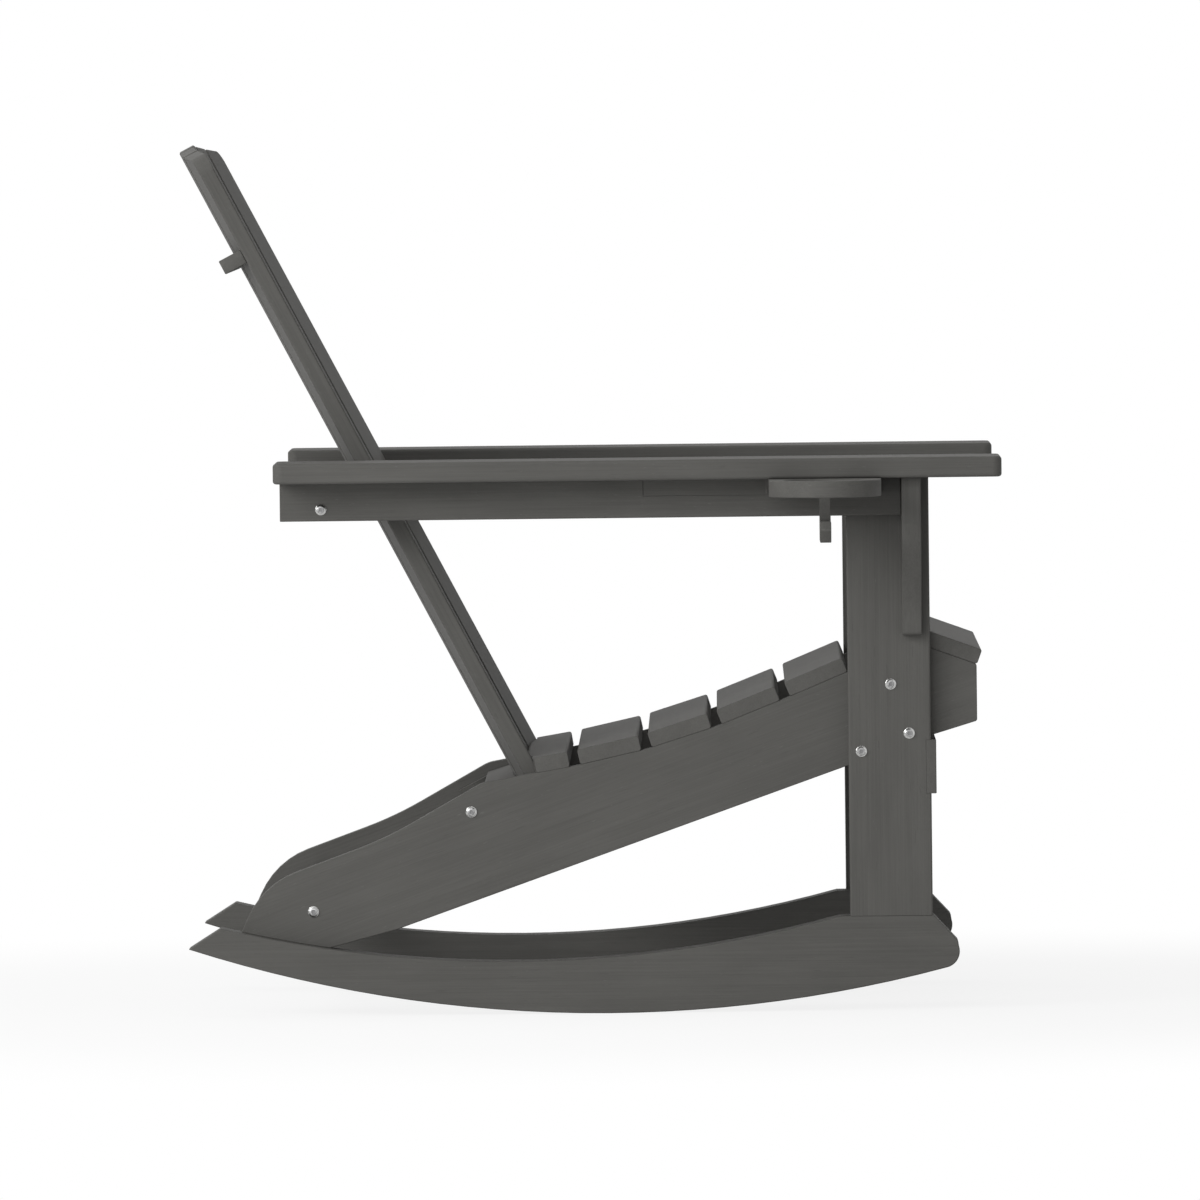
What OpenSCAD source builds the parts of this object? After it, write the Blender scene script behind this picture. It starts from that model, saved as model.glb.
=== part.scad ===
// Rocking adirondack chair of grey moulded lumber boards, with a cup holder
// on the right arm. The chair faces +X and stands on the floor at Z = 0.
// The sitter's right hand is at -Y. Lengths are in millimetres.

/* [Frame] */
// Outside width over the two stringers
frame_w = 550; // [500:10:600]
// Thickness of the frame boards
board_t = 22; // [19:1:25]
// Thickness of the seat and back slats
slat_t = 16.5; // [14:0.5:18]
// Radius of the eased edges of the boards
ease_r = 2; // [1:0.5:3]

/* [Rockers] */
// Radius of the curved sole
sole_r = 1450; // [1400:10:1560]
// Width of a rocker
rocker_w = 44; // [40:1:50]
// Radius of the hollow top edge
hollow_r = 1345; // [1300:1:1380]
// Distance from the sole's middle back to the tip of the tail
tail_reach = 456; // [440:1:475]
// Distance from the sole's middle forward to the centre of the nose
nose_reach = 356; // [350:1:370]
// Radius of the nose
nose_r = 18; // [14:1:20]

/* [Front legs] */
// Width of a front leg, seen from the side
leg_w = 88.8; // [84:0.1:92]
// Height of the front legs' feet on the rockers
leg_foot_z = 102; // [97:0.5:106]

/* [Seat] */
// Width of a seat slat
seat_slat_w = 67.5; // [64:0.5:70]
// Gap between the seat slats
seat_gap = 11.8; // [9:0.1:14]
// Depth of the rear end of the seat behind its second slat
seat_first_w = 36; // [30:0.5:42]
// Length of the stringers' square front end
stringer_nose_h = 61; // [50:1:70]

/* [Back] */
// Lean of the back from upright
back_lean = 27.7; // [26:0.1:29]
// Length of the back up to its peak, along the lean
back_len = 1050.5; // [980:0.5:1100]
// Width of a back slat
back_slat_w = 88; // [80:1:90]
// Gap between the back slats
back_gap = 12; // [8:0.5:14]
// Radius on which the back is hollowed
back_curve_r = 1920; // [1700:10:2400]
// Fall of the top edge on both sides of the peak, in degrees
back_fall = 2; // [1:0.1:5]
// Radius of the curve that the fall gains toward the sides
back_crown_r = 3300; // [2500:50:4500]

/* [Arms] */
// Height of the underside of the arms
arm_z = 575; // [560:0.5:600]
// Length of an arm
arm_l = 780.5; // [760:0.5:800]
// Width of an arm
arm_w = 125; // [115:1:140]
// Height of the rail under an arm
arm_rail_h = 41.5; // [38:0.5:46]
// Height of the bracket under an arm
bracket_h = 171; // [150:1:190]

/* [Cup holder] */
// Diameter of the hole for a cup
cup_hole_d = 88; // [80:1:92]
// Outside diameter of the ring round the hole
cup_ring_d = 120; // [114:1:130]
// Thickness of the cup holder board
cup_board_t = 18; // [15:1:20]
// Drop from the board to the foot that carries the cup
cup_drop = 26.5; // [20:0.5:34]

/* [Fasteners] */
// Diameter of the bolts and screws
bolt_d = 6; // [5:0.5:7]
// Diameter of their heads
head_d = 11.8; // [10.5:0.1:13]

/* [Hidden] */

// Smoothness of the small rounds, of the metre long arcs and of rounded corners
$fn = 32;
arc_fn = 720;
corner_steps = 6;
full_turn = 360;

// Overrun of every cut, clearance of every bolt hole, and corners of a hexagon
over = 1;
hole_fit = 0.25;
hex_fn = 6;

// Sideways layout, as distances from the chair's middle plane
frame_y = frame_w / 2;
stringer_y = frame_y - board_t;
leg_y = frame_y + board_t;
rail_y = leg_y + board_t;
rocker_y = leg_y - rocker_w;
arm_y = stringer_y;

// Rocker, with X = 0 at the lowest line of the sole
hollow_x = -100;
hollow_rise = 56.7;
hollow_z = hollow_rise + hollow_r;
heel_dx = 34.8;
toe_margin = 1.2;
toe_bevel_inset = 1.8;
toe_bevel_z = 74.6;
nose_z = sole_r - sqrt(pow(sole_r - nose_r, 2) - pow(nose_reach, 2));

// Front legs, and the stretcher that is let into them
leg_x = 256.6;
stretcher_t = 11;
stretcher_h = 58;
stretcher_gap = 4.6;
stretcher_let_in_share = 0.5;
stretcher_x = leg_x + leg_w - stretcher_t * stretcher_let_in_share;

// Seat slats, from the rear: slope of each, and where the first one starts
seat_tilts = [9.5, 12.5, 17.5, 21.5, 22.5, 22, -20];
seat_x = -79.3;
seat_z = 259.1;
crest_gap = 2.5;
seat_bow_r = 3800;
seat_bow = seat_bow_r - sqrt(pow(seat_bow_r, 2) - pow(frame_y, 2));
last_slat = len(seat_tilts) - 1;
seat_ease_share = 0.16;
seat_ease_r = slat_t * seat_ease_share;

// Stringer below and behind the seat, as corners [x, z, radius]
stringer_tail = [
  [-401.3, 86, 0], [-377.3, 140.7, 92], [-243, 189.7, 411], [-138.7, 248.5, 36.6]
];
stringer_front_dx = 0.5;
stringer_front_r = 3;
stringer_chin = [348.4, 295.6];
stringer_under = [-230, 92.2];
stringer_under_end = [-330, 65.4];
stretcher_z = stringer_chin[1] - stretcher_gap - stretcher_h;

// Back, in its own leaning frame: u to the front, v up along the lean
back_x = 23.8;
back_slats = 5;
back_pitch = back_slat_w + back_gap;
back_pitch_a = 180 / PI * back_pitch / back_curve_r;
back_foot_v = 205;
back_corner_r = 22;
back_inner_corner_r = 3;
rail_seat_r = sqrt(pow(back_curve_r, 2) + pow(back_slat_w / 2, 2));
back_fit = 0.6;
back_half_w = (back_slats - 1) / 2 * back_pitch + back_slat_w / 2 + back_fit;
brace_drop = 142;
brace_t = 16;
brace_back = 12;
brace_l = 480;
lower_rail_back = 34;
lower_rail_v = 287;
lower_rail_h = 88;
lower_rail_slope = 17.5;
lower_rail_front = 40;
cleat_w = 38;
cleat_h = 52;
cleat_drop = 3;
cleat_bolt_drop = 13.5;

// Arms, their rails and brackets
arm_x = -357.4;
arm_corner_r = 10;
arm_ease_r = 3.5;
arm_rail_inset = 5.8;
arm_rail_x = arm_x + arm_rail_inset;
bracket_dx = 58.9;
bracket_x = leg_x + bracket_dx;
bracket_gap = 0.3;
arm_rail_l = bracket_x - bracket_gap - arm_rail_x;
bracket_t = 21;
bracket_top_w = 60;
bracket_foot_w = 17;
bracket_foot_r = 5.5;
bracket_head_share = 0.3;
bracket_toe_share = 0.06;
bracket_steps = 14;

// Cup holder
cup_x = 233.5;
cup_tail_x = 39.2;
notch_fit = 0.3;
cup_out = 48;
cup_y = arm_y + arm_w + cup_out;
cup_board_z = arm_z - cup_board_t;
cup_fillet_r = 4;
cup_ease_r = 1.5;
cup_ring_w = (cup_ring_d - cup_hole_d) / 2;
support_t = 12;
support_limb_w = 18;
support_foot_h = 22;
support_reach = 44;
support_nose = 8;
support_fillet_r = 6;
support_y = cup_y - cup_hole_d / 2 - support_limb_w + over;

// Places in the side view, as [x, z]. Those on a leg or rail are measured from its rear edge
leg_bolt_places = [[46, 351.2], [65.4, 298.2], [13.8, 279.2]];
leg_bolts = [for (p = leg_bolt_places) [leg_x + p[0], p[1]]];
cleat_bolt = lean_point(-lower_rail_back - cleat_w / 2, lower_rail_v - cleat_bolt_drop);
stretcher_bolt = [-321.6, 111.8];
rear_stretcher_h = 54;
rail_bolt_dx = 44.1;
rail_bolt_drop = 28.9;
rail_bolt = [arm_rail_x + rail_bolt_dx, arm_z - rail_bolt_drop];
rail_screw_dxs = [12, 42];
rail_screw_z = arm_z - (cup_board_t + arm_rail_h) / 2;
bolt_r = bolt_d / 2;
head_h = 3.2;
head_bevel = 2;
recess_r = 2.3;
recess_h = 1.7;
nut_r = 5.8;
nut_h = 5;
bolt_tip = 2;
bolt_l = 2 * board_t + nut_h + bolt_tip;
end_bite = 50;
end_screw_l = board_t + end_bite;
rail_bite = 16;
rail_screw_l = board_t + rail_bite;
rocker_grip = 26;
rocker_bite = 44;
rocker_screw_l = rocker_grip + rocker_bite;
counterbore_r = 8;
foot_screw_inset = 20;
foot_screw_xs = [leg_x + foot_screw_inset, leg_x + leg_w - foot_screw_inset];
tail_screw_x = -365;

// The row's origin: on the floor, below the middle of the whole chair
origin_x = (arm_x + arm_l - back_peak_x()) / 2;
origin_y = (arm_y + arm_w - cup_y - cup_ring_d / 2) / 2;

// Unit vector of a slope in the side view, and height of the two rocker arcs
function slope(a) = [cos(a), sin(a)];
function sole_at(x) = sole_r - sqrt(pow(sole_r, 2) - pow(x, 2));
function hollow_at(x) = hollow_z - sqrt(pow(hollow_r, 2) - pow(x - hollow_x, 2));

// A point in the frame of the back, as [x, z], and how far the back's peak reaches behind X = 0
function lean_point(u, v) = [
  back_x + u * cos(back_lean) - v * sin(back_lean),
  u * sin(back_lean) + v * cos(back_lean)
];
function back_peak_x() = -lean_point(0, back_len)[0];

// Where seat slat i starts and ends along the stringer's top edge
function seat_w(i) = i == 0 ? seat_first_w : seat_slat_w;
function seat_space(i) = i == last_slat - 1 ? crest_gap : seat_gap;
function seat_start(i) = i == 0 ? [seat_x, seat_z]
  : seat_end(i - 1) + seat_space(i - 1) * slope((seat_tilts[i - 1] + seat_tilts[i]) / 2);
function seat_end(i) = seat_start(i) + seat_w(i) * slope(seat_tilts[i]);

// An outline's corners [x, y, radius] turned into points, round where radius > 0
function unit(v) = v / norm(v);
function flat(p) = [p[0], p[1]];
function corner_arc(a, c, b) =
  let (
    to_a = unit(flat(a) - flat(c)),
    to_b = unit(flat(b) - flat(c)),
    half = acos(to_a * to_b) / 2,
    centre = flat(c) + unit(to_a + to_b) * c[2] / sin(half),
    from = flat(c) + to_a * c[2] / tan(half) - centre,
    till = flat(c) + to_b * c[2] / tan(half) - centre,
    start = atan2(from[1], from[0]),
    raw = atan2(till[1], till[0]) - start,
    turn = raw - full_turn * round(raw / full_turn)
  )
  [for (k = [0:corner_steps]) centre + c[2] * slope(start + turn * k / corner_steps)];
function rounded(corners) = let (n = len(corners)) [
  for (i = [0:n - 1])
    each corners[i][2] == 0 ? [flat(corners[i])]
      : corner_arc(corners[(i + n - 1) % n], corners[i], corners[(i + 1) % n])
];

// Moves the chair so that the row's origin is at zero
module place() {
  translate([-origin_x, -origin_y, 0]) children();
}

// Puts a piece drawn for the left side on the left or the right
module on_side(side) {
  if (side > 0) children();
  else mirror([0, 1, 0]) children();
}

// A board cut to a side view outline, from y outward
module side_board(y, t) {
  translate([0, y + t, 0]) rotate([90, 0, 0]) linear_extrude(t) children();
}

// A rectangle with eased corners
module eased_rect(w, h, r) {
  translate([r, 0]) square([w - 2 * r, h]);
  translate([0, r]) square([w, h - 2 * r]);
  for (x = [r, w - r], y = [r, h - r]) translate([x, y]) circle(r);
}

// The rim of a plate: square inside, eased at the outer edge
module rim_section(depth, t, r) {
  square([depth - r, t]);
  translate([0, r]) square([depth, t - 2 * r]);
  for (z = [r, t - r]) translate([depth - r, z]) circle(r);
}

// A plate with round corners in plan and eased edges all round
module eased_plate(l, w, t, corner_r, edge_r) {
  inner_l = l - 2 * corner_r;
  inner_w = w - 2 * corner_r;
  translate([-inner_l / 2, -inner_w / 2, 0]) cube([inner_l, inner_w, t]);
  for (turn = [0, 180]) rotate([0, 0, turn]) {
    translate([inner_l / 2, inner_w / 2, 0]) rotate([90, 0, 0])
      linear_extrude(inner_w) rim_section(corner_r, t, edge_r);
    translate([-inner_l / 2, inner_w / 2, 0]) rotate([90, 0, 90])
      linear_extrude(inner_l) rim_section(corner_r, t, edge_r);
    translate([inner_l / 2, inner_w / 2, 0])
      rotate_extrude(angle = 90) rim_section(corner_r, t, edge_r);
    translate([-inner_l / 2, inner_w / 2, 0]) rotate([0, 0, 90])
      rotate_extrude(angle = 90) rim_section(corner_r, t, edge_r);
  }
}

// A bolt hole across the chair, and one up from the sole, where the head is seated at head_z
module cross_hole(spot) {
  translate([spot[0], 0, spot[1]]) rotate([90, 0, 0])
    cylinder(h = 2 * (rail_y + over), r = bolt_r + hole_fit, center = true);
}
module sole_hole(x, y, head_z) {
  translate([x, y, 0]) cylinder(h = head_z, r = counterbore_r);
  translate([x, y, 0]) cylinder(h = head_z + rocker_screw_l + over, r = bolt_r + hole_fit);
}

// A fastener along Z with its head above zero
module fastener(l) {
  difference() {
    union() {
      translate([0, 0, -l]) cylinder(h = l, r = bolt_r);
      cylinder(h = head_h - head_bevel, d = head_d);
      translate([0, 0, head_h - head_bevel])
        cylinder(h = head_bevel, d1 = head_d, d2 = head_d - 2 * head_bevel);
    }
    translate([0, 0, head_h - recess_h]) cylinder(h = recess_h + over, r = recess_r, $fn = hex_fn);
  }
}

// Turns Z to point outward across the chair, or inward
module facing_out() { rotate([-90, 0, 0]) children(); }
module facing_in() { rotate([90, 0, 0]) children(); }

// The frame of the back, and the bundle of space in front of its slats' rear faces
module back_frame() {
  translate([back_x, 0, 0]) rotate([0, -back_lean, 0]) children();
}
module back_hollow(r) {
  translate([back_curve_r, 0, 0]) cylinder(h = back_len, r = r, $fn = arc_fn);
}

// The cuts of tail and nose run on past the arcs, so that each crosses them cleanly
module rocker_outline() {
  tip = [-tail_reach, sole_at(tail_reach)];
  heel = [heel_dx - tail_reach, hollow_at(heel_dx - tail_reach)];
  tail_cut = unit(heel - tip) * nose_r;
  nose = [nose_reach, nose_z];
  nose_cut = unit(nose - [0, sole_r]) * 2 * nose_r;
  difference() {
    union() {
      intersection() {
        translate([0, sole_r]) circle(sole_r, $fn = arc_fn);
        polygon([
          [-nose_reach, -over], tip - tail_cut, heel + tail_cut, [0, leg_foot_z],
          [leg_x + leg_w + toe_margin, leg_foot_z],
          [nose_reach + nose_r - toe_bevel_inset, toe_bevel_z],
          [nose_reach + nose_r, nose_z], nose, nose + nose_cut, [nose_reach, -over]
        ]);
      }
      translate(nose) circle(nose_r);
    }
    translate([hollow_x, hollow_z]) circle(hollow_r, $fn = arc_fn);
  }
}

module rocker(side) {
  color("dimgray") on_side(side) difference() {
    side_board(rocker_y, rocker_w) rocker_outline();
    for (x = foot_screw_xs) sole_hole(x, leg_y - board_t / 2, leg_foot_z - rocker_grip);
    sole_hole(tail_screw_x, frame_y - board_t / 2, hollow_at(tail_screw_x) - rocker_grip);
  }
}

// The top edge follows the seat slats, and the tail rests in the rocker's hollow
module stringer_outline() {
  front = seat_end(last_slat) + [-stringer_front_dx, 0];
  intersection() {
    polygon(rounded(concat(
      stringer_tail,
      [for (i = [0:last_slat - 1]) each [concat(seat_start(i), 0), concat(seat_end(i), 0)]],
      [
        concat(seat_start(last_slat), 0),
        [front[0], front[1], stringer_front_r],
        [front[0], front[1] - stringer_nose_h, stringer_front_r],
        [stringer_chin[0], stringer_chin[1], 0],
        [stringer_under[0], stringer_under[1], 0],
        [stringer_under_end[0], stringer_under_end[1], 0]
      ]
    )));
    translate([hollow_x, hollow_z]) circle(hollow_r, $fn = arc_fn);
  }
}

module stringer(side) {
  color("dimgray") on_side(side) difference() {
    side_board(stringer_y, board_t) stringer_outline();
    for (spot = concat(leg_bolts, [cleat_bolt, stretcher_bolt])) cross_hole(spot);
    sole_hole(tail_screw_x, frame_y - board_t / 2, hollow_at(tail_screw_x) - rocker_grip);
  }
}

module front_leg(side) {
  leg_h = arm_z - leg_foot_z;
  color("dimgray") on_side(side) difference() {
    translate([leg_x, frame_y, leg_foot_z]) linear_extrude(leg_h) eased_rect(leg_w, board_t, ease_r);
    translate([stretcher_x, frame_y - over, stretcher_z])
      cube([stretcher_t, board_t + 2 * over, stretcher_h]);
    for (spot = leg_bolts) cross_hole(spot);
    for (dx = rail_screw_dxs) cross_hole([leg_x + dx, rail_screw_z]);
    for (x = foot_screw_xs) sole_hole(x, leg_y - board_t / 2, leg_foot_z - rocker_grip);
  }
}

module front_stretcher() {
  color("dimgray") translate([stretcher_x, leg_y, stretcher_z])
    rotate([90, 0, 0]) linear_extrude(2 * leg_y) eased_rect(stretcher_t, stretcher_h, ease_r / 2);
}

module rear_stretcher() {
  color("dimgray") difference() {
    translate([stretcher_bolt[0], stringer_y, stretcher_bolt[1]])
      rotate([90, 0, 0]) linear_extrude(2 * stringer_y)
        translate([-board_t / 2, -rear_stretcher_h / 2]) eased_rect(board_t, rear_stretcher_h, ease_r);
    end_holes(stretcher_bolt, frame_y);
  }
}

// Blind holes in the two ends of a cross board, for screws whose heads sit at y
module end_holes(spot, y) {
  for (side = [1, -1]) on_side(side) translate([spot[0], y, spot[1]])
    facing_in() cylinder(h = end_screw_l + over, r = bolt_r + hole_fit);
}

module lower_back_rail() {
  fall = lower_rail_slope - back_lean;
  color("dimgray") back_frame() difference() {
    side_board(-stringer_y, 2 * stringer_y) polygon([
      [-lower_rail_back, lower_rail_v - lower_rail_h],
      [lower_rail_front, lower_rail_v - lower_rail_h],
      [lower_rail_front, lower_rail_v + (lower_rail_front + lower_rail_back) * tan(fall)],
      [-lower_rail_back, lower_rail_v]
    ]);
    back_hollow(rail_seat_r);
  }
}

module back_rail_cleat(side) {
  color("dimgray") on_side(side) difference() {
    back_frame() translate([-lower_rail_back - cleat_w, stringer_y, lower_rail_v - cleat_drop - cleat_h])
      rotate([90, 0, 0]) linear_extrude(board_t) eased_rect(cleat_w, cleat_h, ease_r);
    cross_hole(cleat_bolt);
  }
}

module slat_board(w) {
  translate([0, frame_y, 0]) rotate([90, 0, 0])
    linear_extrude(frame_w) eased_rect(w, slat_t, seat_ease_r);
}

// The space of the back, from a small clearance before its slats
module back_room() {
  back_frame() difference() {
    translate([-seat_first_w, -back_half_w, 0]) cube([3 * seat_first_w, 2 * back_half_w, back_len / 2]);
    back_hollow(back_curve_r - slat_t - back_fit);
  }
}

// The rear slat is ripped narrow. Its rear edge bows toward the hollow of the back and clears it
module seat_slat(i) {
  color("dimgray") difference() {
    translate([seat_start(i)[0], 0, seat_start(i)[1]]) rotate([0, -seat_tilts[i], 0])
      if (i == 0) intersection() {
        translate([-seat_bow, 0, 0]) slat_board(seat_first_w + seat_bow);
        translate([seat_bow_r - seat_bow, 0, -over])
          cylinder(h = slat_t + 2 * over, r = seat_bow_r, $fn = arc_fn);
      }
      else slat_board(seat_slat_w);
    if (i == 0) back_room();
  }
}

// Top edge of the back at a distance y from its middle
function back_top(y) = back_len - abs(y) * tan(back_fall) - pow(y, 2) / (2 * back_crown_r);

// Outline of back slat i, counted from the middle, with the outer corner rounder
module back_slat_outline(i) {
  half = back_slat_w / 2;
  mid = i * back_pitch;
  outer = (back_slats - 1) / 2;
  polygon(rounded([
    [-half, back_foot_v, 0], [half, back_foot_v, 0],
    [half, back_top(mid + half), i == outer ? back_corner_r : back_inner_corner_r],
    if (i == 0) [0, back_top(0), 0],
    [-half, back_top(mid - half), i == -outer ? back_corner_r : back_inner_corner_r]
  ]));
}

module back_slat(i) {
  color("dimgray") back_frame()
    translate([back_curve_r, 0, 0]) rotate([0, 0, -i * back_pitch_a]) translate([-back_curve_r, 0, 0])
      intersection() {
        translate([0, -back_slat_w / 2, back_foot_v])
          linear_extrude(back_len - back_foot_v + over) eased_rect(slat_t, back_slat_w, ease_r);
        translate([-over, 0, 0]) rotate([90, 0, 90])
          linear_extrude(slat_t + 2 * over) back_slat_outline(i);
      }
}

module upper_back_brace() {
  color("dimgray") back_frame() difference() {
    translate([-brace_back, -brace_l / 2, back_len - brace_drop])
      cube([brace_back + lower_rail_front, brace_l, brace_t]);
    back_hollow(rail_seat_r);
  }
}

// The hollow of the back cuts this board's front edge
module arm_back_rail() {
  rail_z = arm_z - arm_rail_h;
  color("dimgray") difference() {
    translate([arm_rail_x, -leg_y, rail_z]) cube([-arm_rail_x, 2 * leg_y, board_t]);
    back_frame() back_hollow(rail_seat_r);
    end_holes(rail_bolt, rail_y);
  }
}

// Notch in the top of the right rail that takes the cup holder board
module cup_notch() {
  translate([cup_tail_x - notch_fit, leg_y - over, cup_board_z])
    cube([
      cup_x + cup_ring_d / 2 - cup_tail_x + 2 * notch_fit, board_t + 2 * over, cup_board_t + over
    ]);
}

module arm_rail(side) {
  color("dimgray") on_side(side) difference() {
    translate([arm_rail_x, leg_y, arm_z - arm_rail_h]) rotate([90, 0, 90])
      linear_extrude(arm_rail_l) eased_rect(board_t, arm_rail_h, ease_r);
    cross_hole(rail_bolt);
    if (side < 0) cup_notch();
    for (dx = rail_screw_dxs) translate([leg_x + dx, frame_y, rail_screw_z])
      facing_out() cylinder(h = rail_screw_l + over, r = bolt_r + hole_fit);
  }
}

// Width of the bracket at a share t of its height, in a smooth double curve
function bracket_blend(t) =
  t < bracket_toe_share ? 0
  : t > 1 - bracket_head_share ? 1
  : (1 - cos(180 * (t - bracket_toe_share) / (1 - bracket_head_share - bracket_toe_share))) / 2;
function bracket_w(t) = bracket_foot_w + (bracket_top_w - bracket_foot_w) * bracket_blend(t);

module arm_bracket(side) {
  color("dimgray") on_side(side)
    translate([bracket_x, leg_y, arm_z - bracket_h]) rotate([90, 0, 90]) linear_extrude(bracket_t)
      polygon(rounded(concat(
        [[0, bracket_h, 0], [0, 0, 0], [bracket_foot_w, 0, bracket_foot_r]],
        [for (k = [1:bracket_steps]) [bracket_w(k / bracket_steps), bracket_h * k / bracket_steps, 0]]
      )));
}

module arm(side) {
  color("dimgray") on_side(side)
    translate([arm_x + arm_l / 2, arm_y + arm_w / 2, arm_z])
      eased_plate(arm_l, arm_w, board_t, arm_corner_r, arm_ease_r);
}

// Plan of the board: a tail let into the arm's rail and a neck out to the ring
module cup_board_plan() {
  neck_x = cup_x - cup_ring_d / 2;
  polygon(rounded([
    [cup_tail_x, leg_y, 0], [cup_x + cup_ring_d / 2, leg_y, 0],
    [cup_x + cup_ring_d / 2, cup_y, 0], [neck_x, cup_y, 0],
    [neck_x, rail_y, cup_fillet_r], [cup_tail_x, rail_y, 0]
  ]));
}

module cup_holder_board() {
  color("dimgray") mirror([0, 1, 0]) translate([0, 0, cup_board_z]) union() {
    difference() {
      linear_extrude(cup_board_t) cup_board_plan();
      translate([cup_x, cup_y, -over])
        cylinder(h = cup_board_t + 2 * over, d = cup_hole_d + cup_ring_w, $fn = 2 * $fn);
    }
    translate([cup_x, cup_y, 0]) rotate_extrude($fn = 2 * $fn)
      translate([cup_hole_d / 2, 0]) eased_rect(cup_ring_w, cup_board_t, cup_ease_r);
  }
}

// An L shaped hanger: a limb under the board's neck and a foot below the hole
module cup_support() {
  foot_top = cup_board_z - cup_drop;
  foot_end = cup_y + support_reach;
  color("dimgray") mirror([0, 1, 0]) translate([cup_x - support_t / 2, 0, 0])
    rotate([90, 0, 90]) linear_extrude(support_t) polygon(rounded([
      [support_y, cup_board_z, 0],
      [support_y, foot_top - support_foot_h, ease_r],
      [foot_end - 2 * support_nose, foot_top - support_foot_h, ease_r],
      [foot_end, foot_top - support_nose, ease_r],
      [foot_end - support_nose, foot_top, ease_r],
      [support_y + support_limb_w, foot_top, support_fillet_r],
      [support_y + support_limb_w, cup_board_z, 0]
    ]));
}

// Bolts whose grip is two boards, as [x, z, face]
function through_bolts() = [
  for (spot = leg_bolts) [spot[0], spot[1], leg_y],
  [cleat_bolt[0], cleat_bolt[1], frame_y]
];

module frame_bolts() {
  color("silver") for (side = [1, -1], b = through_bolts()) on_side(side)
    translate([b[0], b[2], b[1]]) facing_out() fastener(bolt_l);
}

module frame_nuts() {
  color("silver") for (side = [1, -1], b = through_bolts()) on_side(side)
    translate([b[0], b[2] - 2 * board_t, b[1]]) facing_in() difference() {
      cylinder(h = nut_h, r = nut_r, $fn = hex_fn);
      translate([0, 0, -over]) cylinder(h = nut_h + 2 * over, r = bolt_r + hole_fit);
    }
}

module end_screws() {
  color("silver") for (side = [1, -1]) on_side(side) {
    translate([stretcher_bolt[0], frame_y, stretcher_bolt[1]]) facing_out() fastener(end_screw_l);
    translate([rail_bolt[0], rail_y, rail_bolt[1]]) facing_out() fastener(end_screw_l);
  }
}

module rail_screws() {
  color("silver") for (side = [1, -1], dx = rail_screw_dxs) on_side(side)
    translate([leg_x + dx, frame_y, rail_screw_z]) facing_in() fastener(rail_screw_l);
}

module rocker_screws() {
  color("silver") for (side = [1, -1]) on_side(side) {
    for (x = foot_screw_xs) translate([x, leg_y - board_t / 2, leg_foot_z - rocker_grip])
      mirror([0, 0, 1]) fastener(rocker_screw_l);
    translate([tail_screw_x, frame_y - board_t / 2, hollow_at(tail_screw_x) - rocker_grip])
      mirror([0, 0, 1]) fastener(rocker_screw_l);
  }
}

place() rocker(1);  // rocker_left
place() rocker(-1);  // rocker_right
place() stringer(1);  // stringer_left
place() stringer(-1);  // stringer_right
place() front_leg(1);  // front_leg_left
place() front_leg(-1);  // front_leg_right
place() front_stretcher();
place() rear_stretcher();
place() lower_back_rail();
place() back_rail_cleat(1);  // back_rail_cleat_left
place() back_rail_cleat(-1);  // back_rail_cleat_right
place() seat_slat(0);  // seat_slat_1
place() seat_slat(1);  // seat_slat_2
place() seat_slat(2);  // seat_slat_3
place() seat_slat(3);  // seat_slat_4
place() seat_slat(4);  // seat_slat_5
place() seat_slat(5);  // seat_slat_6
place() seat_slat(6);  // seat_slat_7
place() back_slat(-2);  // back_slat_1
place() back_slat(-1);  // back_slat_2
place() back_slat(0);  // back_slat_3
place() back_slat(1);  // back_slat_4
place() back_slat(2);  // back_slat_5
place() upper_back_brace();
place() arm_back_rail();
place() arm_rail(1);  // arm_rail_left
place() arm_rail(-1);  // arm_rail_right
place() arm_bracket(1);  // arm_bracket_left
place() arm_bracket(-1);  // arm_bracket_right
place() arm(1);  // arm_left
place() arm(-1);  // arm_right
place() cup_holder_board();
place() cup_support();
place() frame_bolts();
place() frame_nuts();
place() end_screws();
place() rail_screws();
place() rocker_screws();
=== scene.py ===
# %% [markdown]
# # A rocking adirondack chair
# The real chair is made of grey moulded boards, bolted together: two curved rockers, two sloping
# side boards, a seat of seven slats, a hollow back of five, broad arms, and a cup ring beside one arm.
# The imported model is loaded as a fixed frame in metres. +X is the chair's front, +Z is up, and the
# sitter's right hand is at -Y. Every piece made below takes its place from that frame.

# %% Load the frame
import math
import bpy
from mathutils import Matrix, Vector


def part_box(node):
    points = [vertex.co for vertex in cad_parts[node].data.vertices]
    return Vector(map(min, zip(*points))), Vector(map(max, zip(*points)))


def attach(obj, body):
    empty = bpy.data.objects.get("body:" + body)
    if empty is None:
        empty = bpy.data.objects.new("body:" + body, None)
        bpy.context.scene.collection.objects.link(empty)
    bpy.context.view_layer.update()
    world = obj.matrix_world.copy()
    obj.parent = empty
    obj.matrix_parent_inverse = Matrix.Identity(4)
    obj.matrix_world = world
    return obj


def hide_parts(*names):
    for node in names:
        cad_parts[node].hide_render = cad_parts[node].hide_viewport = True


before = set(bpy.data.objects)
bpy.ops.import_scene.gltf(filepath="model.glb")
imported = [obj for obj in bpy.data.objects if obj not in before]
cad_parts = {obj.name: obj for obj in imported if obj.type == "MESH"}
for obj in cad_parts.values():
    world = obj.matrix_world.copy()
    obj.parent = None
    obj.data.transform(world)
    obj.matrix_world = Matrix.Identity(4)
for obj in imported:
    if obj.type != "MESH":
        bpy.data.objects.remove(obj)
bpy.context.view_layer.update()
MM = 0.001

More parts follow.
